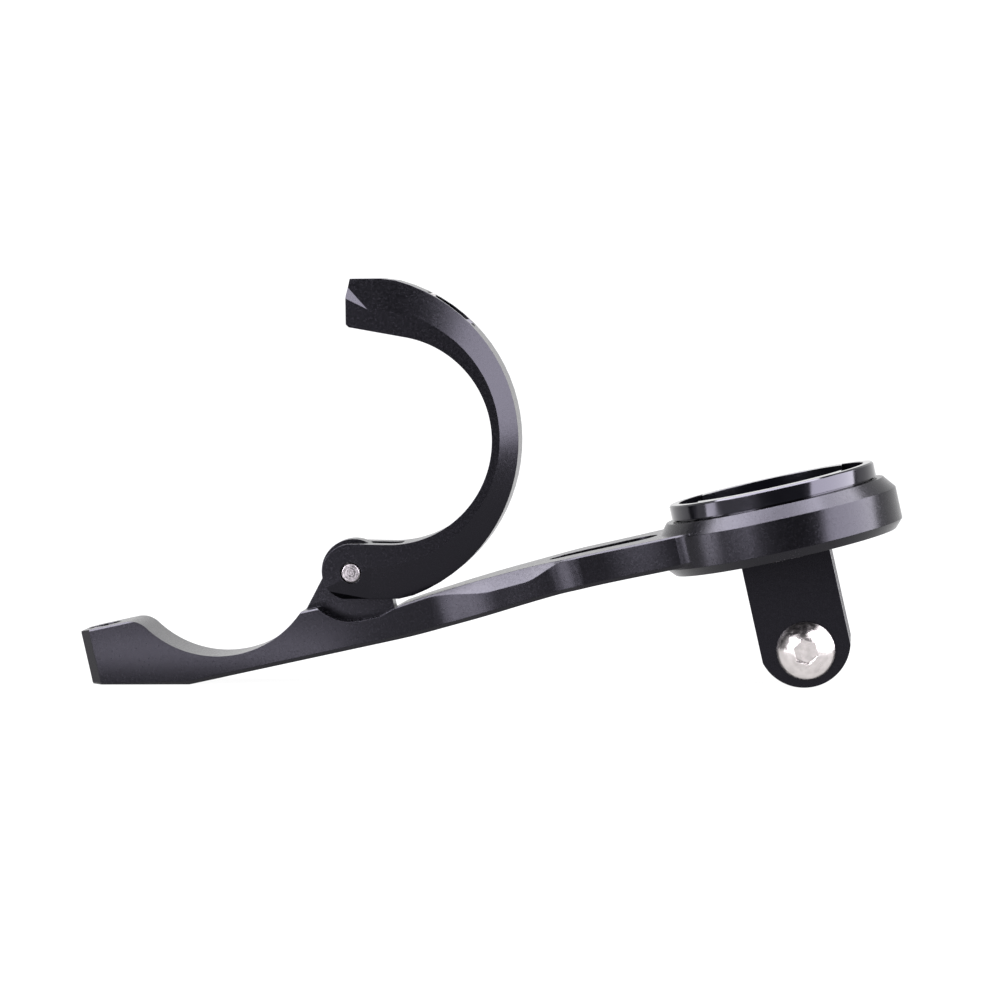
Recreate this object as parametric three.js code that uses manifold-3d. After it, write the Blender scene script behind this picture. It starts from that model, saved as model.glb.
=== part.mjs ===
// Out-front handlebar mount for a cycling computer, with a three-prong action camera tab
// under the computer seat. Millimetres, +Z up, +X along the arm away from the handlebar,
// +Y along the handlebar. The clamp jaw is open and lies back on the arm.
//
// The pieces are laid out in a level frame: origin on the handlebar axis, X along the arm,
// Z square to the computer seat. The whole mount then leans back by REST_TILT, so that it
// stands on its heel and on the end of the camera tab.

import * as THREE from "three";
import { mergeVertices } from "three/addons/utils/BufferGeometryUtils.js";
import Module from "manifold-3d";

const wasm = await Module();
wasm.setup();

const DEG = Math.PI / 180;
const REST_TILT = 12.1 * DEG;
const GAP = 0.3;
const THREAD_GAP = 0.1;
const PIN_GAP = 0.15;
const OVERRUN = 1;
const ROUND = 40;
const SMALL_ROUND = 20;

// Clamp
const BAR_R = 15.9;
const CLAMP_HALF = 5;
const PARTING_Z = -7.4;
const SADDLE_END_X = -23.55;
const SADDLE_CORNER = 1.6;
const LIP_R = 3.6;
const LEDGE_Z = -11.6;
const HEEL_FRONT_X = -8.6;
const SADDLE_BOTTOM_Z = -18.9;

// Hinge
const PIN = new THREE.Vector2(19.7, -7.4);
const PIN_R = 1.5;
const PIN_LENGTH = 9.9;
const PIN_EDGE = 0.2;
const TONGUE_R = 4.95;
const TONGUE_HALF = 1.6;
const FORK_HALF = TONGUE_HALF + GAP;
const FORK_DEPTH = 7.6;
const EAR_R = 4.4;
const POCKET_R = 7.5;
const POCKET_FLOOR_END_X = 22.5;
const CLOSING_ANGLE = 98 * DEG;

// Jaw, drawn about its own bore centre as it lies when the clamp is open
const JAW_OUTER_R = 25.3;
const JAW_OUTER_CENTRE = new THREE.Vector2(-5.5, -0.1);
const JAW_BACK_HALF = 3.2;
const JAW_END_X = -6.2;
const JAW_TOP_Z = 24.6;
const JAW_BOTTOM_Z = -24.3;
const JAW_FLAT_ANGLE = 80 * DEG;
const JAW_SWEEP = 98 * DEG;
const JAW_STEPS = 36;
const JAW_CORNER = 0.45;
const JAW_TOP_LEAN = 2.6;
const FACE_R = 19.6;
const FACE_CENTRE = new THREE.Vector2(-2.5, 0.3);
const FACE_TOP_Z = 22.1;
const FACE_BOTTOM_Z = -22.7;
const FACE_TOP_SLOPE = { angle: 54.9 * DEG, offset: 18.34 };
const FACE_BOTTOM_SLOPE = { angle: -52.3 * DEG, offset: 17.76 };

// Clamp bolt, an M3 x 10 slim-head screw that lies drawn back inside the jaw
const BOLT_R = 1.5;
const BOLT_LENGTH = 10;
const BOLT_HEAD = { r: 2.45, h: 2.8, socketAF: 2.5, socketDepth: 1.5 };
const BOLT_AXIS_Z = 19.8;
const BOLT_SEAT_X = -3.2;
const WASHER_R = 2.4;
const WASHER_T = 0.5;
const RETAINER = { r: 2.3, t: 0.9, x: -4.6 };
const BUSHING = { r: 2, mouthR: 2.3, mouthH: 0.5, length: 6.4, sunk: 0.3 };
const THREAD_DEPTH = 7.8;

// Arm
const RAMP_TOP = new THREE.Vector2(26.2, -13.8);
const ARM_TOP_Z = -12;
const ARM_LEVEL_X = 57;
const NECK_BOTTOM_Z = -16.9;
const NECK_RISE = { from: 24, to: 57 };
const WALL_FLARES = [
  { by: 2.6, from: 31, to: 41 },
  { by: 0.8, from: 38, to: 50 },
  { by: 1.5, from: 50, to: 54.5 },
  { by: 1.5, from: 58, to: 70 },
];
const BEVEL_MAX = 2;
const BEVEL_GROWS = { from: 30, to: 41 };
const BEVEL_FADES = { from: 45.5, to: 52.5 };
const EDGE_BREAK = 0.25;
const ARM_CHAMFER = 0.6;
const ARM_STEP = 0.75;
const NECK_FILLET_R = 5.5;
const NECK_FILLET_STEPS = 7;
const NECK_SUNK_IN_RING = 0.1;
const SLOT_TAIL = { x: 52, r: 2.6 };
const SLOT_HEAD = { x: 63, r: 3.4 };

// Computer seat
const SEAT_X = 84.9;
const SEAT_TOP_Z = -7.9;
const INSERT_R = 15.8;
const INSERT_SKIRT_R = 15;
const INSERT_RIM_H = 2.3;
const INSERT_LIP_R = 12.6;
const INSERT_LIP_T = 1.5;
const INSERT_GROOVE_R = 14;
const INSERT_NOTCH_R = 14.3;
const INSERT_NOTCH_ANGLE = 80 * DEG;
const INSERT_FLOOR_Z = -11.9;
const RING_R = 18.3;
const RING_TOP_Z = SEAT_TOP_Z - INSERT_RIM_H - GAP;
const RING_TOP_R = 16.8;
const RING_TOP_CHAMFER = 1.9;
const RING_FOOT_R = 17.1;
const RING_FOOT_Z = -18.5;
const RING_FOOT_CHAMFER = 1.3;
const WEB_TOP_Z = -15;
const WEB_BOTTOM_Z = -16.9;

// Camera tab
const TAB_HALF_WIDTH = 6.73;
const TAB_END_R = 7;
const TAB_END_ABOVE_BOLT = 1.44;
const PRONG_T = 3;
const PRONG_GAP = 3.05;
const TAB_BASE_R = 12.2;
const CAMERA_BOLT_R = 2.5;
const CAMERA_HEAD = { r: 4.4, h: 2.5, socketAF: 3.4, socketDepth: 1.7 };
const DOME_STEPS = 10;
const NUT_AF = 8;
const NUT_T = 2.7;
const BOSS_R = 5.6;
const BOSS_H = 2.5;

// Small screws
const SCREW_R = 1.25;
const SCREW_SOCKET_AF = 1.5;
const SEAT_SCREW = { circle: 9, headR: 2.1, headH: 1.2, sunk: 0.4, tip: -16.6, socketDepth: 0.8 };
const TAB_SCREW = { circle: 9.3, headR: 2.2, headH: 1, tip: -15.4, socketDepth: 0.7 };

const flatShading = true;
const finish = (color, roughness, metalness) => {
  return new THREE.MeshStandardMaterial({ color, roughness, metalness, flatShading });
};
const anodised = finish(0x17171a, 0.45, 0.8);
const glossy = finish(0x0d0d10, 0.12, 0.3);
const tabBlack = finish(0x0e0e10, 0.55, 0.6);
const stainless = finish(0xc9c6c4, 0.2, 1);
const rubber = finish(0x111111, 0.8, 0);

// ---------------------------------------------------------------- joining and cutting

function signedVolume(position, index) {
  const [a, b, c] = [new THREE.Vector3(), new THREE.Vector3(), new THREE.Vector3()];
  let volume = 0;
  for (let i = 0; i < index.length; i += 3) {
    a.fromArray(position, 3 * index[i]);
    b.fromArray(position, 3 * index[i + 1]);
    c.fromArray(position, 3 * index[i + 2]);
    volume += a.dot(b.cross(c)) / 6;
  }
  return volume;
}

// A closed geometry as a solid with its faces turned outwards. A solid stays as it is.
function solid(shape) {
  if (!shape.isBufferGeometry) return shape;
  shape.deleteAttribute("normal");
  shape.deleteAttribute("uv");
  const merged = mergeVertices(shape, 1e-4);
  const position = merged.attributes.position.array;
  const triangles = [];
  for (let i = 0; i < merged.index.count; i += 3) {
    const [a, b, c] = merged.index.array.slice(i, i + 3);
    if (a !== b && b !== c && c !== a) triangles.push(a, b, c);
  }
  if (signedVolume(position, triangles) < 0) triangles.reverse();
  const vertProperties = new Float32Array(position);
  const triVerts = new Uint32Array(triangles);
  return new wasm.Manifold(new wasm.Mesh({ numProp: 3, vertProperties, triVerts }));
}

const join = (...shapes) => shapes.map(solid).reduce((whole, next) => whole.add(next));
const cut = (body, ...tools) => {
  return tools.map(solid).reduce((rest, tool) => rest.subtract(tool), solid(body));
};

function piece(name, body, material) {
  const { vertProperties, triVerts } = solid(body).getMesh();
  const geometry = new THREE.BufferGeometry();
  geometry.setAttribute("position", new THREE.BufferAttribute(vertProperties, 3));
  geometry.setIndex(new THREE.BufferAttribute(triVerts, 1));
  geometry.computeVertexNormals();
  const mesh = new THREE.Mesh(geometry, material);
  mesh.name = name;
  return mesh;
}

// ---------------------------------------------------------------- basic shapes

// An X-Z outline with thickness along Y, and an X-Y outline with thickness along Z.
function plateY(shape, yLow, yHigh) {
  const settings = { depth: yHigh - yLow, bevelEnabled: false, curveSegments: ROUND };
  return new THREE.ExtrudeGeometry(shape, settings).rotateX(Math.PI / 2).translate(0, yHigh, 0);
}

function plateZ(shape, zLow, zHigh) {
  const settings = { depth: zHigh - zLow, bevelEnabled: false, curveSegments: SMALL_ROUND };
  return new THREE.ExtrudeGeometry(shape, settings).translate(0, 0, zLow);
}

function block(xLow, xHigh, yLow, yHigh, zLow, zHigh) {
  const box = new THREE.BoxGeometry(xHigh - xLow, yHigh - yLow, zHigh - zLow);
  return box.translate((xLow + xHigh) / 2, (yLow + yHigh) / 2, (zLow + zHigh) / 2);
}

function rodY(x, z, radius, yLow, yHigh, sides = ROUND) {
  const rod = new THREE.CylinderGeometry(radius, radius, yHigh - yLow, sides);
  return rod.translate(x, (yLow + yHigh) / 2, z);
}

function rodZ(x, y, radius, zLow, zHigh, sides = ROUND) {
  const rod = new THREE.CylinderGeometry(radius, radius, zHigh - zLow, sides);
  return rod.rotateX(Math.PI / 2).translate(x, y, (zLow + zHigh) / 2);
}

function hexPrism(acrossFlats, zLow, zHigh) {
  return rodZ(0, 0, acrossFlats / Math.sqrt(3), zLow, zHigh, 6);
}

// A closed [radius, height] profile turned about Z.
function turned(profile, sides = ROUND) {
  const points = [...profile, profile[0]].map(([r, z]) => new THREE.Vector2(r, z));
  return new THREE.LatheGeometry(points, sides).rotateX(Math.PI / 2);
}

const mean = (values) => values.reduce((sum, value) => sum + value, 0) / values.length;

// Convex rings of points in step with one another, joined into one closed body.
function loft(rings) {
  const count = rings[0].length;
  const position = rings.flat(2);
  const index = [];
  for (let r = 0; r + 1 < rings.length; r++) {
    for (let i = 0; i < count; i++) {
      const [a, b] = [r * count + i, r * count + ((i + 1) % count)];
      index.push(a, b, b + count, a, b + count, a + count);
    }
  }
  for (const [ring, flip] of [[0, true], [rings.length - 1, false]]) {
    const middle = position.length / 3;
    for (const axis of [0, 1, 2]) position.push(mean(rings[ring].map((point) => point[axis])));
    for (let i = 0; i < count; i++) {
      const [a, b] = [ring * count + i, ring * count + ((i + 1) % count)];
      index.push(middle, ...(flip ? [b, a] : [a, b]));
    }
  }
  const geometry = new THREE.BufferGeometry();
  geometry.setAttribute("position", new THREE.Float32BufferAttribute(position, 3));
  geometry.setIndex(index);
  return geometry;
}

// ---------------------------------------------------------------- arm body

const smooth = ({ from, to }, x) => THREE.MathUtils.smoothstep(x, from, to);

function sideWall(x) {
  return WALL_FLARES.reduce((half, flare) => half + flare.by * smooth(flare, x), CLAMP_HALF);
}

// The side wall ends in a fillet that runs just inside the seat ring's wall.
const filletY = sideWall(SEAT_X - RING_R) + NECK_FILLET_R;
const filletReach = RING_R - NECK_SUNK_IN_RING + NECK_FILLET_R;
const filletX = SEAT_X - Math.sqrt(filletReach ** 2 - filletY ** 2);
const filletEndX = SEAT_X - (SEAT_X - filletX) * (filletReach - NECK_FILLET_R) / filletReach;

function wallHalf(x) {
  const corner = Math.max(0, SADDLE_END_X + SADDLE_CORNER - x);
  if (x <= filletX) return sideWall(x) - corner;
  return Math.max(sideWall(x), filletY - Math.sqrt(NECK_FILLET_R ** 2 - (x - filletX) ** 2));
}

function bevel(x) {
  const share = smooth(BEVEL_GROWS, x) * (1 - smooth(BEVEL_FADES, x));
  return EDGE_BREAK + (BEVEL_MAX - EDGE_BREAK) * share;
}

function armTop(x) {
  if (x <= HEEL_FRONT_X) return PARTING_Z;
  if (x < POCKET_FLOOR_END_X) return LEDGE_Z;
  const rise = Math.max(0, (ARM_LEVEL_X - x) / (ARM_LEVEL_X - RAMP_TOP.x));
  return ARM_TOP_Z + (RAMP_TOP.y - ARM_TOP_Z) * rise * rise;
}

function armBottom(x) {
  const heelRise = Math.max(0, HEEL_FRONT_X - x) * Math.tan(REST_TILT);
  return SADDLE_BOTTOM_Z + heelRise + (NECK_BOTTOM_Z - SADDLE_BOTTOM_Z) * smooth(NECK_RISE, x);
}

function armSection(x) {
  const [half, top, bottom] = [wallHalf(x), armTop(x), armBottom(x)];
  const foot = x < HEEL_FRONT_X ? EDGE_BREAK : ARM_CHAMFER;
  const shoulder = bevel(x);
  const side = [
    [half - foot, bottom],
    [half, bottom + foot],
    [half, top - shoulder],
    [half - shoulder, top],
  ];
  const mirrored = side.map(([y, z]) => [-y, z]).reverse();
  return [...side, ...mirrored].map(([y, z]) => [x, y, z]);
}

function armBlank() {
  const stations = [SADDLE_END_X, SADDLE_END_X + SADDLE_CORNER, HEEL_FRONT_X, HEEL_FRONT_X + ARM_STEP];
  stations.push(POCKET_FLOOR_END_X - ARM_STEP);
  for (let x = POCKET_FLOOR_END_X; x < filletX - ARM_STEP / 2; x += ARM_STEP) stations.push(x);
  for (let i = 0; i <= NECK_FILLET_STEPS; i++) {
    stations.push(THREE.MathUtils.lerp(filletX, filletEndX, i / NECK_FILLET_STEPS));
  }
  return loft(stations.map(armSection));
}

// Above the rounded lip between the parting face and the bar bore.
function lipCut() {
  const reach = BAR_R + LIP_R;
  const centreZ = PARTING_Z - LIP_R;
  const centreX = -Math.sqrt(reach * reach - centreZ * centreZ);
  const shape = new THREE.Shape();
  shape.moveTo(centreX, PARTING_Z + OVERRUN);
  shape.lineTo(centreX, PARTING_Z);
  shape.absarc(centreX, centreZ, LIP_R, Math.PI / 2, Math.atan2(-centreZ, -centreX), true);
  shape.lineTo(0, -BAR_R / 2);
  shape.lineTo(0, PARTING_Z + OVERRUN);
  return plateY(shape, -CLAMP_HALF - OVERRUN, CLAMP_HALF + OVERRUN);
}

function hingePocket() {
  const start = Math.asin((LEDGE_Z - PIN.y) / POCKET_R);
  const shape = new THREE.Shape();
  shape.moveTo(PIN.x - POCKET_R * Math.cos(start), PIN.y);
  shape.absarc(PIN.x, PIN.y, POCKET_R, Math.PI - start, 1.5 * Math.PI, false);
  shape.lineTo(POCKET_FLOOR_END_X, PIN.y - POCKET_R);
  shape.lineTo(RAMP_TOP.x, RAMP_TOP.y);
  shape.lineTo(RAMP_TOP.x, PIN.y);
  const reach = wallHalf(RAMP_TOP.x) + OVERRUN;
  return plateY(shape, -reach, reach);
}

function tongue() {
  const footZ = PIN.y - POCKET_R - OVERRUN;
  const shape = new THREE.Shape();
  shape.moveTo(PIN.x - POCKET_R - OVERRUN, footZ);
  shape.lineTo(PIN.x + TONGUE_R, footZ);
  shape.lineTo(PIN.x + TONGUE_R, PIN.y);
  shape.absarc(PIN.x, PIN.y, TONGUE_R, 0, Math.PI, false);
  shape.lineTo(PIN.x - POCKET_R - OVERRUN, LEDGE_Z);
  return plateY(shape, -TONGUE_HALF, TONGUE_HALF);
}

function armSlot() {
  const lean = Math.asin((SLOT_HEAD.r - SLOT_TAIL.r) / (SLOT_HEAD.x - SLOT_TAIL.x));
  const shape = new THREE.Shape();
  shape.absarc(SLOT_HEAD.x, 0, SLOT_HEAD.r, -Math.PI / 2 - lean, Math.PI / 2 + lean, false);
  shape.absarc(SLOT_TAIL.x, 0, SLOT_TAIL.r, Math.PI / 2 + lean, 1.5 * Math.PI - lean, false);
  return plateZ(shape, RING_FOOT_Z, RING_TOP_Z);
}

function seatRing() {
  const ring = turned([
    [0, RING_TOP_Z],
    [RING_TOP_R, RING_TOP_Z],
    [RING_R, RING_TOP_Z - RING_TOP_CHAMFER],
    [RING_R, RING_FOOT_Z + RING_FOOT_CHAMFER],
    [RING_FOOT_R, RING_FOOT_Z],
    [0, RING_FOOT_Z],
  ], 2 * ROUND);
  return ring.translate(SEAT_X, 0, 0);
}

function seatHollows() {
  const places = [...seatScrewPlaces, ...tabScrewPlaces];
  return [
    rodZ(SEAT_X, 0, INSERT_SKIRT_R + GAP, WEB_TOP_Z, SEAT_TOP_Z, 2 * ROUND),
    rodZ(SEAT_X, 0, TAB_BASE_R + GAP, RING_FOOT_Z - OVERRUN, WEB_BOTTOM_Z, 2 * ROUND),
    ...places.map(([x, y]) => rodZ(x, y, SCREW_R + GAP, RING_FOOT_Z, SEAT_TOP_Z, SMALL_ROUND)),
  ];
}

// Stands a shape that is turned about Z on the clamp bolt's line, where the closed jaw puts
// that line in the parting face.
function onClosedBoltLine(shape) {
  const lean = Math.PI / 2 + REST_TILT - CLOSING_ANGLE;
  const x = PARTING_Z * Math.tan(lean) - BOLT_AXIS_Z / Math.cos(lean);
  return shape.rotateY(lean).translate(x, 0, PARTING_Z);
}

function bushingHole() {
  const bodyR = BUSHING.r + GAP;
  const mouthR = BUSHING.mouthR + GAP;
  const bottom = -BUSHING.sunk - BUSHING.length - GAP;
  const hole = turned([
    [0, -THREAD_DEPTH],
    [BOLT_R + GAP, -THREAD_DEPTH],
    [BOLT_R + GAP, bottom],
    [bodyR, bottom],
    [bodyR, -BUSHING.sunk - BUSHING.mouthH],
    [mouthR, -BUSHING.sunk],
    [mouthR, OVERRUN],
    [0, OVERRUN],
  ], SMALL_ROUND);
  return onClosedBoltLine(hole);
}

function armBody() {
  const reach = CLAMP_HALF + OVERRUN;
  const barBore = rodY(0, 0, BAR_R, -reach, reach, 3 * ROUND);
  const pinHole = rodY(PIN.x, PIN.y, PIN_R + PIN_GAP, -reach, reach, SMALL_ROUND);
  const arm = join(cut(armBlank(), hingePocket()), seatRing(), tongue());
  return cut(arm, ...seatHollows(), armSlot(), barBore, lipCut(), pinHole, bushingHole());
}

// ---------------------------------------------------------------- clamp jaw

const pinReach = PIN.length();
const pinAngle = Math.atan2(PIN.y, PIN.x) - CLOSING_ANGLE + REST_TILT;
const jawPin = new THREE.Vector2(pinReach * Math.cos(pinAngle), pinReach * Math.sin(pinAngle));

// How far a ray from the bore centre goes before it leaves a circle or a straight edge.
function rayToCircle(angle, centre, radius) {
  const along = centre.x * Math.cos(angle) + centre.y * Math.sin(angle);
  return along + Math.sqrt(along * along - centre.lengthSq() + radius * radius);
}

function rayToEdge(angle, normal, offset) {
  const facing = Math.cos(angle - normal);
  return facing > 0 ? offset / facing : Infinity;
}

function backReach(angle) {
  const top = rayToEdge(angle, Math.PI / 2, JAW_TOP_Z);
  const bottom = rayToEdge(angle, -Math.PI / 2, -JAW_BOTTOM_Z);
  return Math.min(top, bottom, rayToCircle(angle, JAW_OUTER_CENTRE, JAW_OUTER_R));
}

function faceReach(angle) {
  const top = rayToEdge(angle, Math.PI / 2, FACE_TOP_Z);
  const bottom = rayToEdge(angle, -Math.PI / 2, -FACE_BOTTOM_Z);
  const upper = rayToEdge(angle, FACE_TOP_SLOPE.angle, FACE_TOP_SLOPE.offset);
  const lower = rayToEdge(angle, FACE_BOTTOM_SLOPE.angle, FACE_BOTTOM_SLOPE.offset);
  return Math.min(top, bottom, upper, lower, rayToCircle(angle, FACE_CENTRE, FACE_R));
}

// The jaw's outer edge, closed down its open side.
function jawOutline(reach, topZ, bottomZ) {
  const points = [[JAW_END_X - OVERRUN, topZ], [JAW_END_X - EAR_R, 0], [JAW_END_X - EAR_R, bottomZ]];
  for (let i = 0; i <= JAW_STEPS; i++) {
    const angle = THREE.MathUtils.lerp(-JAW_SWEEP, JAW_SWEEP, i / JAW_STEPS);
    points.push([reach(angle) * Math.cos(angle), reach(angle) * Math.sin(angle)]);
  }
  return points;
}

// Everything inside the bar bore and outside the jaw's end face and hinge ears.
function jawInside() {
  const tangent = [BAR_R * Math.cos(JAW_FLAT_ANGLE), BAR_R * Math.sin(JAW_FLAT_ANGLE)];
  const endZ = tangent[1] + (tangent[0] - JAW_END_X) / Math.tan(JAW_FLAT_ANGLE);
  const earEnd = Math.PI + Math.asin((jawPin.y - JAW_BOTTOM_Z) / EAR_R);
  const farX = JAW_END_X - 2 * EAR_R;
  const shape = new THREE.Shape();
  shape.moveTo(farX, JAW_TOP_Z + OVERRUN);
  shape.lineTo(JAW_END_X + JAW_CORNER, JAW_TOP_Z + OVERRUN);
  shape.lineTo(JAW_END_X + JAW_CORNER, JAW_TOP_Z);
  shape.lineTo(JAW_END_X, JAW_TOP_Z - JAW_TOP_LEAN);
  shape.lineTo(JAW_END_X, endZ + JAW_CORNER);
  shape.lineTo(JAW_END_X + JAW_CORNER, endZ);
  shape.absarc(0, 0, BAR_R, JAW_FLAT_ANGLE, -Math.PI / 2, true);
  shape.absarc(jawPin.x, jawPin.y, EAR_R, Math.PI / 2, earEnd, false);
  shape.lineTo(jawPin.x, JAW_BOTTOM_Z - OVERRUN);
  shape.lineTo(farX, JAW_BOTTOM_Z - OVERRUN);
  return plateY(shape, -CLAMP_HALF - OVERRUN, CLAMP_HALF + OVERRUN);
}

function jawBlank() {
  const back = jawOutline(backReach, JAW_TOP_Z, JAW_BOTTOM_Z);
  const face = jawOutline(faceReach, FACE_TOP_Z, FACE_BOTTOM_Z);
  const ringAt = (outline, y) => outline.map(([x, z]) => [x, y, z]);
  return loft([
    ringAt(face, -CLAMP_HALF),
    ringAt(back, -JAW_BACK_HALF),
    ringAt(back, JAW_BACK_HALF),
    ringAt(face, CLAMP_HALF),
  ]);
}

// Clearance hole, retainer groove and counterbore, as one turned shape laid along X.
function jawBoltBore() {
  const counterboreR = BOLT_HEAD.r + GAP;
  const clearR = BOLT_R + GAP;
  const grooveR = RETAINER.r + THREAD_GAP;
  const grooveHalf = RETAINER.t / 2 + THREAD_GAP;
  const bore = turned([
    [0, JAW_END_X - OVERRUN],
    [clearR, JAW_END_X - OVERRUN],
    [clearR, RETAINER.x - grooveHalf],
    [grooveR, RETAINER.x - grooveHalf],
    [grooveR, RETAINER.x + grooveHalf],
    [clearR, RETAINER.x + grooveHalf],
    [clearR, BOLT_SEAT_X],
    [counterboreR, BOLT_SEAT_X],
    [counterboreR, JAW_OUTER_R],
    [0, JAW_OUTER_R],
  ], SMALL_ROUND);
  return bore.rotateY(Math.PI / 2).translate(0, 0, BOLT_AXIS_Z);
}

function clampJaw() {
  const fork = block(
    jawPin.x - POCKET_R, jawPin.x + FORK_DEPTH, -FORK_HALF, FORK_HALF,
    JAW_BOTTOM_Z - OVERRUN, jawPin.y + EAR_R + OVERRUN,
  );
  const reach = CLAMP_HALF + OVERRUN;
  const pinHole = rodY(jawPin.x, jawPin.y, PIN_R + PIN_GAP, -reach, reach, SMALL_ROUND);
  return cut(jawBlank(), jawInside(), fork, pinHole, jawBoltBore());
}

// ---------------------------------------------------------------- hardware, made about Z

// A screw with its head from z = 0 upwards and its shank below.
function socketScrew(head, headTop, shankR, length, socketAF, socketDepth) {
  const shank = rodZ(0, 0, shankR, -length, EDGE_BREAK, SMALL_ROUND);
  return cut(join(head, shank), hexPrism(socketAF, headTop - socketDepth, headTop + OVERRUN));
}

function clampBolt() {
  const head = rodZ(0, 0, BOLT_HEAD.r, 0, BOLT_HEAD.h);
  return socketScrew(head, BOLT_HEAD.h, BOLT_R, BOLT_LENGTH, BOLT_HEAD.socketAF, BOLT_HEAD.socketDepth);
}

function clampWasher() {
  return turned([[BOLT_R + GAP, 0], [WASHER_R, 0], [WASHER_R, WASHER_T], [BOLT_R + GAP, WASHER_T]]);
}

// The o-ring that keeps the bolt in the open jaw.
function boltRetainer() {
  const inner = BOLT_R + THREAD_GAP;
  const [quarter, half] = [RETAINER.t / 4, RETAINER.t / 2];
  return turned([
    [inner, -quarter],
    [inner + quarter, -half],
    [RETAINER.r - quarter, -half],
    [RETAINER.r, -quarter],
    [RETAINER.r, quarter],
    [RETAINER.r - quarter, half],
    [inner + quarter, half],
    [inner, quarter],
  ], SMALL_ROUND);
}

function threadBushing() {
  const boreR = BOLT_R + THREAD_GAP;
  return turned([
    [boreR, -BUSHING.length],
    [BUSHING.r, -BUSHING.length],
    [BUSHING.r, -BUSHING.mouthH],
    [BUSHING.mouthR, 0],
    [boreR, 0],
  ], SMALL_ROUND).translate(0, 0, -BUSHING.sunk);
}

function hingePin() {
  const half = PIN_LENGTH / 2;
  return turned([
    [0, -half],
    [PIN_R - PIN_EDGE, -half],
    [PIN_R, -half + PIN_EDGE],
    [PIN_R, half - PIN_EDGE],
    [PIN_R - PIN_EDGE, half],
    [0, half],
  ], SMALL_ROUND);
}

function seatScrew() {
  const { headR, headH, sunk, tip, socketDepth } = SEAT_SCREW;
  const length = INSERT_FLOOR_Z - sunk - headH - tip;
  const head = rodZ(0, 0, headR, 0, headH, SMALL_ROUND);
  return socketScrew(head, headH, SCREW_R, length, SCREW_SOCKET_AF, socketDepth);
}

function tabScrew() {
  const { headR, headH, tip, socketDepth } = TAB_SCREW;
  const head = turned([[0, 0], [SCREW_R, 0], [headR, headH], [0, headH]], SMALL_ROUND);
  return socketScrew(head, headH, SCREW_R, tip - RING_FOOT_Z - headH, SCREW_SOCKET_AF, socketDepth);
}

function cameraBolt() {
  const { r, h, socketAF, socketDepth } = CAMERA_HEAD;
  const domeR = (r * r + h * h) / (2 * h);
  const domeAngle = Math.asin(r / domeR);
  const profile = [[0, 0], [r, 0]];
  for (let i = 1; i <= DOME_STEPS; i++) {
    const angle = domeAngle * (1 - i / DOME_STEPS);
    profile.push([domeR * Math.sin(angle), h - domeR + domeR * Math.cos(angle)]);
  }
  const length = 2 * tabHalfDepth + BOSS_H + GAP;
  return socketScrew(turned(profile), h, CAMERA_BOLT_R, length, socketAF, socketDepth);
}

function cameraNut() {
  return cut(hexPrism(NUT_AF, 0, NUT_T), rodZ(0, 0, CAMERA_BOLT_R + GAP, -OVERRUN, NUT_T + OVERRUN));
}

// ---------------------------------------------------------------- computer seat

const seatScrewPlaces = [45, 135, 225, 315].map((degrees) => [
  SEAT_X + SEAT_SCREW.circle * Math.cos(degrees * DEG),
  SEAT_SCREW.circle * Math.sin(degrees * DEG),
]);
const tabScrewPlaces = [-1, 1].map((side) => [SEAT_X + side * TAB_SCREW.circle, 0]);

// A way in for one of the computer's two bayonet tabs, from the middle out to the groove.
function bayonetNotch(facing) {
  const half = INSERT_NOTCH_ANGLE / 2;
  const shape = new THREE.Shape();
  shape.moveTo(0, 0);
  shape.absarc(0, 0, INSERT_NOTCH_R, facing - half, facing + half, false);
  return plateZ(shape, INSERT_FLOOR_Z, SEAT_TOP_Z + OVERRUN).translate(SEAT_X, 0, 0);
}

function seatInsert() {
  const skirtBottom = WEB_TOP_Z + GAP;
  const grooveTop = SEAT_TOP_Z - INSERT_LIP_T;
  const insert = turned([
    [0, INSERT_FLOOR_Z],
    [INSERT_GROOVE_R, INSERT_FLOOR_Z],
    [INSERT_GROOVE_R, grooveTop],
    [INSERT_LIP_R, grooveTop],
    [INSERT_LIP_R, SEAT_TOP_Z],
    [INSERT_R - EDGE_BREAK, SEAT_TOP_Z],
    [INSERT_R, SEAT_TOP_Z - EDGE_BREAK],
    [INSERT_R, SEAT_TOP_Z - INSERT_RIM_H],
    [INSERT_SKIRT_R, SEAT_TOP_Z - INSERT_RIM_H],
    [INSERT_SKIRT_R, skirtBottom],
    [0, skirtBottom],
  ], 2 * ROUND).translate(SEAT_X, 0, 0);
  const sinkZ = INSERT_FLOOR_Z - SEAT_SCREW.sunk - SEAT_SCREW.headH - GAP;
  const screwHoles = seatScrewPlaces.flatMap(([x, y]) => [
    rodZ(x, y, SEAT_SCREW.headR + GAP, sinkZ, SEAT_TOP_Z, SMALL_ROUND),
    rodZ(x, y, SCREW_R + GAP, WEB_TOP_Z, SEAT_TOP_Z, SMALL_ROUND),
  ]);
  return cut(insert, bayonetNotch(0), bayonetNotch(Math.PI), ...screwHoles);
}

// ---------------------------------------------------------------- camera tab

// The tab reaches down to the plane that the heel stands on.
const heelDepth = SADDLE_BOTTOM_Z * Math.cos(REST_TILT) + HEEL_FRONT_X * Math.sin(REST_TILT);
const tabEndZ = (heelDepth + TAB_END_R - SEAT_X * Math.sin(REST_TILT)) / Math.cos(REST_TILT);
const cameraBoltZ = tabEndZ - TAB_END_ABOVE_BOLT;
const tabHalfDepth = 1.5 * PRONG_T + PRONG_GAP;

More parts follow.
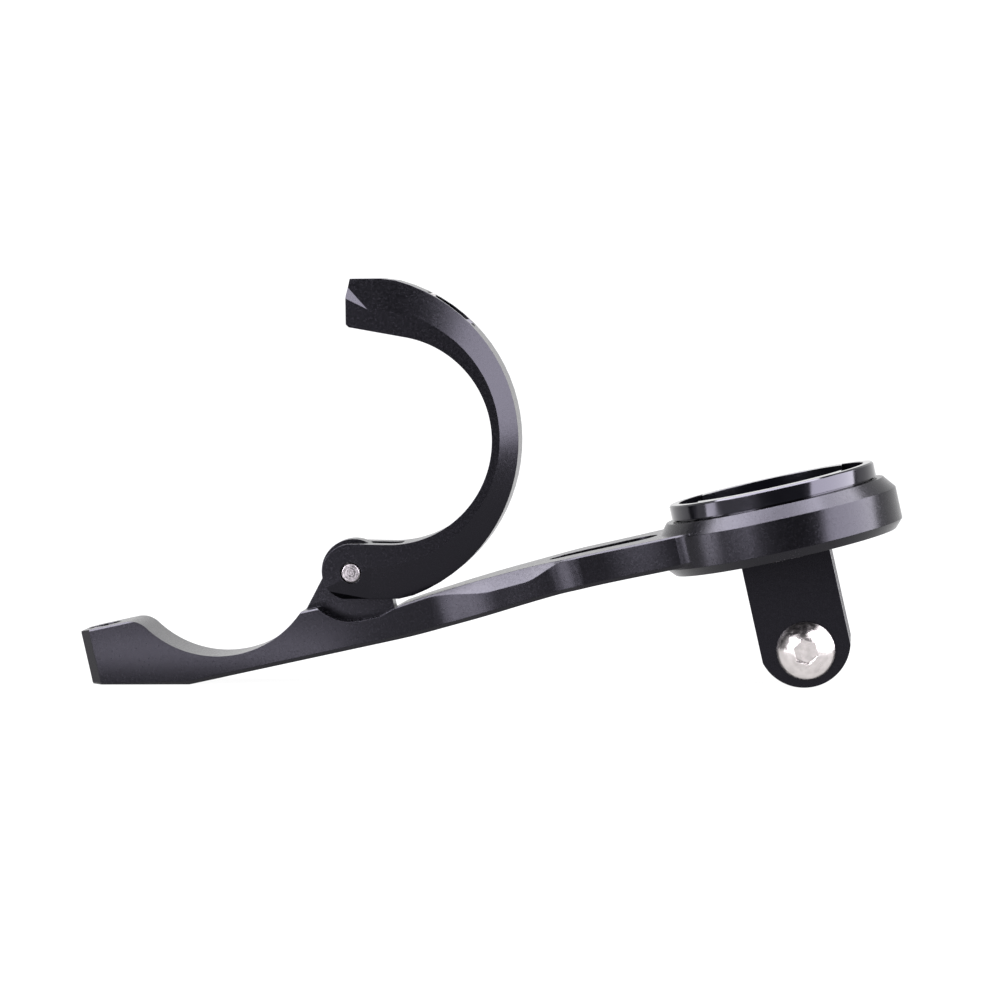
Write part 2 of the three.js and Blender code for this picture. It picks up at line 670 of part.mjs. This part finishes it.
function prong(yMiddle) {
  const endAngle = Math.acos(TAB_HALF_WIDTH / TAB_END_R);
  const topZ = RING_FOOT_Z + EDGE_BREAK;
  const shape = new THREE.Shape();
  shape.moveTo(SEAT_X + TAB_HALF_WIDTH, topZ);
  shape.lineTo(SEAT_X - TAB_HALF_WIDTH, topZ);
  shape.absarc(SEAT_X, tabEndZ, TAB_END_R, Math.PI + endAngle, 2 * Math.PI - endAngle, false);
  return plateY(shape, yMiddle - PRONG_T / 2, yMiddle + PRONG_T / 2);
}

function nutPocket() {
  const floorY = tabHalfDepth + BOSS_H - NUT_T - GAP;
  const pocket = hexPrism(NUT_AF + 2 * GAP, 0, NUT_T + GAP + OVERRUN);
  return pocket.rotateX(-Math.PI / 2).translate(SEAT_X, floorY, cameraBoltZ);
}

function tabScrewHole([x, y]) {
  const sinkTop = RING_FOOT_Z + TAB_SCREW.headH;
  return turned([
    [0, RING_FOOT_Z - OVERRUN],
    [TAB_SCREW.headR + GAP, RING_FOOT_Z - OVERRUN],
    [TAB_SCREW.headR + GAP, RING_FOOT_Z],
    [SCREW_R + GAP, sinkTop],
    [SCREW_R + GAP, WEB_BOTTOM_Z],
    [0, WEB_BOTTOM_Z],
  ], SMALL_ROUND).translate(x, y, 0);
}

function cameraTab() {
  const base = rodZ(SEAT_X, 0, TAB_BASE_R, RING_FOOT_Z, WEB_BOTTOM_Z - GAP, 2 * ROUND);
  const prongs = [-1, 0, 1].map((row) => prong(row * (PRONG_T + PRONG_GAP)));
  const boss = rodY(SEAT_X, cameraBoltZ, BOSS_R, tabHalfDepth - EDGE_BREAK, tabHalfDepth + BOSS_H);
  const reach = tabHalfDepth + BOSS_H + OVERRUN;
  const boltHole = rodY(SEAT_X, cameraBoltZ, CAMERA_BOLT_R + GAP, -reach, reach);
  return cut(join(base, ...prongs, boss), boltHole, nutPocket(), ...tabScrewPlaces.map(tabScrewHole));
}

// ---------------------------------------------------------------- assembly

function placed(mesh, x, y, z, turn = [0, 0, 0]) {
  mesh.position.set(x, y, z);
  mesh.rotation.set(...turn);
  return mesh;
}

const HEAD_TO_PLUS_X = [0, Math.PI / 2, 0];
const HEAD_TO_MINUS_Y = [Math.PI / 2, 0, 0];
const HEAD_DOWN = [Math.PI, 0, 0];

const onCameraBoltLine = (mesh, y) => placed(mesh, SEAT_X, y, cameraBoltZ, HEAD_TO_MINUS_Y);
const seatScrewZ = INSERT_FLOOR_Z - SEAT_SCREW.sunk - SEAT_SCREW.headH;
const tabScrewZ = RING_FOOT_Z + TAB_SCREW.headH;

const mount = new THREE.Group();
mount.add(
  piece("arm_body", armBody(), anodised),
  placed(piece("hinge_pin", hingePin(), stainless), PIN.x, 0, PIN.y, HEAD_TO_MINUS_Y),
  piece("clamp_thread_bushing", onClosedBoltLine(threadBushing()), stainless),
  piece("computer_seat_insert", seatInsert(), glossy),
  piece("camera_tab", cameraTab(), tabBlack),
  onCameraBoltLine(piece("camera_bolt", cameraBolt(), stainless), -tabHalfDepth - GAP),
  onCameraBoltLine(piece("camera_nut", cameraNut(), stainless), tabHalfDepth + BOSS_H),
);
seatScrewPlaces.forEach(([x, y], i) => {
  mount.add(placed(piece(`seat_screw_${i + 1}`, seatScrew(), stainless), x, y, seatScrewZ));
});
tabScrewPlaces.forEach(([x, y], i) => {
  mount.add(placed(piece(`tab_screw_${i + 1}`, tabScrew(), stainless), x, y, tabScrewZ, HEAD_DOWN));
});

// The open jaw, with its bolt drawn back inside it.
const boltHeadX = JAW_END_X + GAP + BOLT_LENGTH;
const washerX = boltHeadX - GAP - WASHER_T;
const onBoltLine = (mesh, x) => placed(mesh, x, 0, BOLT_AXIS_Z, HEAD_TO_PLUS_X);
const jaw = new THREE.Group();
jaw.add(
  piece("clamp_jaw", clampJaw(), anodised),
  onBoltLine(piece("clamp_bolt", clampBolt(), stainless), boltHeadX),
  onBoltLine(piece("clamp_washer", clampWasher(), stainless), washerX),
  onBoltLine(piece("clamp_bolt_retainer", boltRetainer(), rubber), RETAINER.x),
);
jaw.rotation.y = REST_TILT;
const jawFromPin = new THREE.Vector3(-jawPin.x, 0, -jawPin.y).applyEuler(jaw.rotation);
jaw.position.set(PIN.x, 0, PIN.y).add(jawFromPin);
mount.add(jaw);

const part = new THREE.Group();
mount.rotation.y = -REST_TILT;
part.add(mount);
const box = new THREE.Box3().setFromObject(part, true);
mount.position.set(-(box.min.x + box.max.x) / 2, -(box.min.y + box.max.y) / 2, -box.min.z);

export default part;
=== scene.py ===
"""Out-front handlebar mount, dressed for its studio photograph. Metres, in the CAD frame."""

import math

import bmesh
import bpy
from mathutils import Matrix, Vector


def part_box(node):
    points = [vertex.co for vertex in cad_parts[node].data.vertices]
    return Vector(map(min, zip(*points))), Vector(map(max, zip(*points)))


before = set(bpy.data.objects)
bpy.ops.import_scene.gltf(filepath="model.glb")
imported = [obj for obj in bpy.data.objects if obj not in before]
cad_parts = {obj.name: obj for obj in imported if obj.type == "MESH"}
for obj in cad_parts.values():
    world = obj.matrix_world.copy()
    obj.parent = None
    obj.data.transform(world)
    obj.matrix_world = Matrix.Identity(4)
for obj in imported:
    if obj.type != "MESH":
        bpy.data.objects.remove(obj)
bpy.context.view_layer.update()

# The camera looks slightly down and a little from the right of square on.
CAMERA_YAW = math.radians(5.78)
CAMERA_PITCH = math.radians(3.83)
CAMERA_ROLL = math.radians(-0.61)
CAMERA_DISTANCE = 0.5454
CAMERA_FOCAL_OVER_WIDTH = 3.565
SENSOR_WIDTH = 36.0
CLIP_START = 0.01
CAMERA_TARGET = Vector((0.001824, 0.0, 0.027918))

# Edges sharper than this stay crisp: small round parts have coarser facets than large ones.
SMOOTH_ANGLE = math.radians(28)
CRISP_ANGLE = {
    "arm_body": math.radians(14),
    "camera_tab": math.radians(14),
    "clamp_jaw": math.radians(8),
}
WELD_DISTANCE = 0.000002
SQUARE_TO_Y = 0.9999

# The floor lies a hair below the object. It glows, so it needs little colour of its own.
FLOOR_Z = -0.00002
FLOOR_FRONT_Y = -0.26
SWEEP_START = 0.35
SWEEP_R = 0.6
SWEEP_STEPS = 16
SWEEP_HALF = 2.5
SWEEP_TOP_Z = 2.5
SWEEP_COLOUR = (0.03, 0.03, 0.03, 1.0)
SWEEP_GLOW = 0.97
WHITE = (1.0, 1.0, 1.0, 1.0)
WORLD_STRENGTH = 0.12

# Lights: radiance, and the direction that each one's middle has from the camera's direction.
LOOK_AT = Vector((0.0, 0.0, 0.03))
LIGHT_DISTANCE = 0.9
COOL_WHITE = (0.97, 0.96, 1.0)
LEFT_BOX = {
    "turn": math.radians(-44), "rise": math.radians(12), "size": (0.53, 0.7), "radiance": 27.0,
}
RIGHT_BOX = {
    "turn": math.radians(68), "rise": math.radians(33), "size": (1.1, 1.4), "radiance": 17.0,
}
TOP_BOX = {
    "turn": math.radians(-90), "rise": math.radians(74), "size": (0.6, 1.2), "radiance": 24.0,
}
# A bright panel lies on the floor in front of the clamp and lights the arm's left faces.
PANEL = {"place": Vector((-0.05, -0.044, 0.0004)), "size": (0.045, 0.028), "radiance": 12.0}
UP = Vector((0.0, 0.0, 1.0))


# ------------------------------------------------------------------ materials

# Grain values are noise scales, so a larger one is finer. Depths and edge radii are in metres.
# A band is the range of a noise that is stretched over the whole range of a tone or roughness.
COOL_SHEEN = (0.86, 0.82, 1.0, 1.0)
WIDE_BAND = (0.3, 0.7)
BUMP_DEPTH = 0.00002
BLACK_EDGE_R = 0.00012
STEEL_EDGE_R = 0.00008
BEVEL_SAMPLES = 6

ANODISED_IOR = 1.3
ANODISED_TONE_GRAIN = 5200.0
ANODISED_TONE_BAND = (0.4, 0.75)
ANODISED_LIFT = 3.0
ANODISED_SHEEN_GRAIN = 2600.0
ANODISED_SMOOTHER = 0.04
ANODISED_ROUGHER = 0.05
BLAST_GRAIN = 7000.0
BLAST_ROUGHNESS = 0.6

GLOSS_COLOUR = (0.001, 0.001, 0.0014, 1.0)
GLOSS_IOR = 1.38
GLOSS_SWIRLS = 500.0
GLOSS_ROUGHNESS = (0.08, 0.16)
GLOSS_GRAIN = 2600.0
GLOSS_BUMP = 0.05

STEEL_DARKER = 0.82
STEEL_TONE_GRAIN = 700.0
STEEL_TONE_BAND = (0.35, 0.65)
STEEL_SHEEN_GRAIN = 1500.0
STEEL_SMOOTHEST = 0.7
STEEL_ROUGHEST = 1.4
STEEL_GRAIN = 6000.0
STEEL_BUMP = 0.06

# A wave texture's scale for bands one metre apart, and the lathe rings.
WAVE_UNIT = math.pi / 10
RING_SPACING = 0.0004
RING_WOBBLE = 0.4
RING_BUMP = 0.4

RUBBER_ROUGHNESS = 0.75
RUBBER_DARK = (0.012, 0.012, 0.012)
RUBBER_LIGHT = (0.03, 0.03, 0.03)
RUBBER_TONE_GRAIN = 1200.0
RUBBER_GRAIN = 4000.0
RUBBER_BUMP = 0.2
RUBBER_DEPTH = 0.00003


class Graph:
    """A material's node tree, with short calls for the nodes that every finish here uses."""

    def __init__(self, name):
        self.material = bpy.data.materials.new(name)
        self.material.use_nodes = True
        self.tree = self.material.node_tree
        self.shader = self.tree.nodes["Principled BSDF"]
        self.place = self.tree.nodes.new("ShaderNodeTexCoord").outputs["Object"]

    def link(self, source, target):
        self.tree.links.new(source, target)

    def set(self, **values):
        for key, value in values.items():
            self.shader.inputs[key.replace("_", " ")].default_value = value

    def noise(self, scale, detail=2.0, roughness=0.5):
        node = self.tree.nodes.new("ShaderNodeTexNoise")
        node.inputs["Scale"].default_value = scale
        node.inputs["Detail"].default_value = detail
        node.inputs["Roughness"].default_value = roughness
        self.link(self.place, node.inputs["Vector"])
        return node.outputs["Fac"]

    def spread(self, source, band, low=0.0, high=1.0):
        """Stretches a band of the source over the range from low to high."""
        node = self.tree.nodes.new("ShaderNodeMapRange")
        limits = {"From Min": band[0], "From Max": band[1], "To Min": low, "To Max": high}
        for key, value in limits.items():
            node.inputs[key].default_value = value
        self.link(source, node.inputs["Value"])
        return node.outputs["Result"]

    def turning_marks(self, centre, spacing):
        """Fine rings about a line along Y through a centre, as a lathe leaves them."""
        shift = self.tree.nodes.new("ShaderNodeMapping")
        shift.inputs["Location"].default_value = [-part for part in centre]
        self.link(self.place, shift.inputs["Vector"])
        wave = self.tree.nodes.new("ShaderNodeTexWave")
        wave.wave_type = "RINGS"
        wave.rings_direction = "Y"
        wave.inputs["Scale"].default_value = WAVE_UNIT / spacing
        wave.inputs["Distortion"].default_value = RING_WOBBLE
        self.link(shift.outputs["Vector"], wave.inputs["Vector"])
        return wave.outputs["Fac"]

    def mix_colour(self, factor, first, second):
        node = self.tree.nodes.new("ShaderNodeMix")
        node.data_type = "RGBA"
        node.inputs["A"].default_value = (*first, 1.0)
        node.inputs["B"].default_value = (*second, 1.0)
        self.link(factor, node.inputs["Factor"])
        return node.outputs["Result"]

    def bevel(self, radius):
        node = self.tree.nodes.new("ShaderNodeBevel")
        node.samples = BEVEL_SAMPLES
        node.inputs["Radius"].default_value = radius
        return node.outputs["Normal"]

    def bump(self, height, strength, normal=None, distance=BUMP_DEPTH):
        node = self.tree.nodes.new("ShaderNodeBump")
        node.inputs["Strength"].default_value = strength
        node.inputs["Distance"].default_value = distance
        self.link(height, node.inputs["Height"])
        if normal is not None:
            self.link(normal, node.inputs["Normal"])
        return node.outputs["Normal"]


def middle(node):
    low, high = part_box(node)
    return (Vector(low) + Vector(high)) / 2


def anodised_black(name, colour, roughness, grain):
    """Bead-blasted aluminium under black anodising: a fine even grain with faint tone changes."""
    g = Graph(name)
    g.set(IOR=ANODISED_IOR, Specular_Tint=COOL_SHEEN)
    tone = g.spread(g.noise(ANODISED_TONE_GRAIN), ANODISED_TONE_BAND)
    lighter = tuple(ANODISED_LIFT * part for part in colour)
    g.link(g.mix_colour(tone, colour, lighter), g.shader.inputs["Base Color"])
    smoothest, roughest = roughness - ANODISED_SMOOTHER, roughness + ANODISED_ROUGHER
    sheen = g.spread(g.noise(ANODISED_SHEEN_GRAIN, detail=3.0), WIDE_BAND, smoothest, roughest)
    g.link(sheen, g.shader.inputs["Roughness"])
    blasted = g.noise(BLAST_GRAIN, roughness=BLAST_ROUGHNESS)
    g.link(g.bump(blasted, grain, g.bevel(BLACK_EDGE_R)), g.shader.inputs["Normal"])
    return g.material


def gloss_black(name):
    """Polished black insert with faint polishing swirls."""
    g = Graph(name)
    g.set(Base_Color=GLOSS_COLOUR, IOR=GLOSS_IOR, Specular_Tint=COOL_SHEEN)
    swirls = g.spread(g.noise(GLOSS_SWIRLS, detail=4.0), WIDE_BAND, *GLOSS_ROUGHNESS)
    g.link(swirls, g.shader.inputs["Roughness"])
    surface = g.bump(g.noise(GLOSS_GRAIN), GLOSS_BUMP, g.bevel(BLACK_EDGE_R))
    g.link(surface, g.shader.inputs["Normal"])
    return g.material


def stainless(name, roughness, colour, turned_about=None):
    """Stainless steel with small tone changes, and with lathe rings where it has a turned face."""
    g = Graph(name)
    g.set(Metallic=1.0)
    darker = tuple(STEEL_DARKER * part for part in colour)
    tone = g.spread(g.noise(STEEL_TONE_GRAIN, detail=3.0), STEEL_TONE_BAND)
    g.link(g.mix_colour(tone, darker, colour), g.shader.inputs["Base Color"])
    smoothest, roughest = STEEL_SMOOTHEST * roughness, STEEL_ROUGHEST * roughness
    sheen = g.spread(g.noise(STEEL_SHEEN_GRAIN, detail=4.0), WIDE_BAND, smoothest, roughest)
    g.link(sheen, g.shader.inputs["Roughness"])
    surface = g.bump(g.noise(STEEL_GRAIN), STEEL_BUMP, g.bevel(STEEL_EDGE_R))
    if turned_about is not None:
        surface = g.bump(g.turning_marks(turned_about, RING_SPACING), RING_BUMP, surface)
    g.link(surface, g.shader.inputs["Normal"])
    return g.material


def rubber(name):
    """Matt black rubber with a soft grain."""
    g = Graph(name)
    g.set(Roughness=RUBBER_ROUGHNESS)
    tone = g.mix_colour(g.noise(RUBBER_TONE_GRAIN), RUBBER_DARK, RUBBER_LIGHT)
    g.link(tone, g.shader.inputs["Base Color"])
    surface = g.bump(g.noise(RUBBER_GRAIN), RUBBER_BUMP, distance=RUBBER_DEPTH)
    g.link(surface, g.shader.inputs["Normal"])
    return g.material


ANODISED = anodised_black(
    "anodised_black", colour=(0.0003, 0.0003, 0.0004), roughness=0.24, grain=0.18
)
TAB_BLACK = anodised_black(
    "tab_black", colour=(0.0002, 0.0002, 0.0003), roughness=0.26, grain=0.22
)
GLOSS = gloss_black("gloss_black")
STEEL = stainless("turned_steel", roughness=0.28, colour=(0.5, 0.48, 0.48))
PIN_STEEL = stainless(
    "pin_steel", roughness=0.28, colour=(0.2, 0.185, 0.195), turned_about=middle("hinge_pin")
)
POLISHED = stainless("polished_steel", roughness=0.2, colour=(0.62, 0.58, 0.575))
RUBBER = rubber("black_rubber")

FINISH = {
    "arm_body": ANODISED,
    "clamp_jaw": ANODISED,
    "camera_tab": TAB_BLACK,
    "computer_seat_insert": GLOSS,
    "camera_bolt": POLISHED,
    "hinge_pin": PIN_STEEL,
    "clamp_bolt_retainer": RUBBER,
}


def smooth_by_angle(obj, angle):
    """Splits the shading at sharp edges and smooths the rest. Flat sides square to Y stay flat."""
    for polygon in obj.data.polygons:
        polygon.use_smooth = abs(polygon.normal.y) < SQUARE_TO_Y
    weld = obj.modifiers.new("one_skin", "WELD")
    weld.merge_threshold = WELD_DISTANCE
    split = obj.modifiers.new("sharp_edges", "EDGE_SPLIT")
    split.split_angle = angle
    split.use_edge_sharp = False
    weighted = obj.modifiers.new("even_normals", "WEIGHTED_NORMAL")
    weighted.keep_sharp = True


for name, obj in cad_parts.items():
    obj.data.materials.clear()
    obj.data.materials.append(FINISH.get(name, STEEL))
    smooth_by_angle(obj, CRISP_ANGLE.get(name, SMOOTH_ANGLE))


# ------------------------------------------------------------------ studio


def area_light(name, place, facing, size, radiance):
    """A rectangle of light with the same radiance whatever its size."""
    data = bpy.data.lights.new(name, "AREA")
    data.shape = "RECTANGLE"
    data.size, data.size_y = size
    data.energy = math.pi * size[0] * size[1] * radiance
    data.color = COOL_WHITE
    light = bpy.data.objects.new(name, data)
    light.location = place
    light.rotation_euler = facing.to_track_quat("-Z", "Y").to_euler()
    bpy.context.scene.collection.objects.link(light)


def softbox(name, turn, rise, size, radiance):
    """A soft rectangle of light. Its turn is counted rightwards from the camera's direction."""
    heading = CAMERA_YAW + turn
    level = math.cos(rise)
    towards = Vector((math.sin(heading) * level, -math.cos(heading) * level, math.sin(rise)))
    area_light(name, LOOK_AT + LIGHT_DISTANCE * towards, -towards, size, radiance)


def sweep_outline():
    """The sweep's side view, as (y, z) points: flat floor, quarter circle, upright wall."""
    points = [(FLOOR_FRONT_Y, FLOOR_Z), (SWEEP_START, FLOOR_Z)]
    for step in range(1, SWEEP_STEPS + 1):
        angle = math.pi / 2 * step / SWEEP_STEPS
        rise = SWEEP_R * (1 - math.cos(angle))
        points.append((SWEEP_START + SWEEP_R * math.sin(angle), FLOOR_Z + rise))
    points.append((SWEEP_START + SWEEP_R, SWEEP_TOP_Z))
    return points


def sweep_mesh():
    shape = bmesh.new()
    sides = (-SWEEP_HALF, SWEEP_HALF)
    rows = [[shape.verts.new((x, y, z)) for x in sides] for y, z in sweep_outline()]
    for near, far in zip(rows, rows[1:]):
        shape.faces.new((near[0], near[1], far[1], far[0])).smooth = True
    mesh = bpy.data.meshes.new("studio_sweep")
    shape.to_mesh(mesh)
    shape.free()
    return mesh


def studio_sweep():
    """A white floor that curves up into a white wall behind the object."""
    sweep = bpy.data.objects.new("studio_sweep", sweep_mesh())
    bpy.context.scene.collection.objects.link(sweep)
    g = Graph("studio_white")
    g.set(Base_Color=SWEEP_COLOUR, Roughness=1.0, Specular_IOR_Level=0.0)
    g.set(Emission_Color=WHITE, Emission_Strength=SWEEP_GLOW)
    sweep.data.materials.append(g.material)


def studio_world(strength):
    world = bpy.data.worlds.new("studio_world")
    bpy.context.scene.world = world
    world.use_nodes = True
    background = world.node_tree.nodes["Background"]
    background.inputs["Color"].default_value = WHITE
    background.inputs["Strength"].default_value = strength


def camera():
    """Stands the camera back from its target, turned, tipped and rolled as the photo's was."""
    yaw, pitch = CAMERA_YAW, CAMERA_PITCH
    level = math.cos(pitch)
    back = Vector((math.sin(yaw) * level, -math.cos(yaw) * level, math.sin(pitch)))
    right = Vector((math.cos(yaw), math.sin(yaw), 0.0))
    up = back.cross(right)
    turn = Matrix((right, up, back)).transposed() @ Matrix.Rotation(CAMERA_ROLL, 3, "Z")
    data = bpy.data.cameras.new("camera")
    data.sensor_width = SENSOR_WIDTH
    data.lens = CAMERA_FOCAL_OVER_WIDTH * SENSOR_WIDTH
    data.clip_start = CLIP_START
    obj = bpy.data.objects.new("camera", data)
    obj.matrix_world = Matrix.Translation(CAMERA_TARGET + CAMERA_DISTANCE * back) @ turn.to_4x4()
    bpy.context.scene.collection.objects.link(obj)
    bpy.context.scene.camera = obj


studio_sweep()
studio_world(WORLD_STRENGTH)
softbox("left_softbox", **LEFT_BOX)
softbox("right_softbox", **RIGHT_BOX)
softbox("top_softbox", **TOP_BOX)
area_light("floor_panel", facing=UP, **PANEL)
camera()

scene = bpy.context.scene
scene.view_settings.view_transform = "Standard"

bpy.context.view_layer.update()
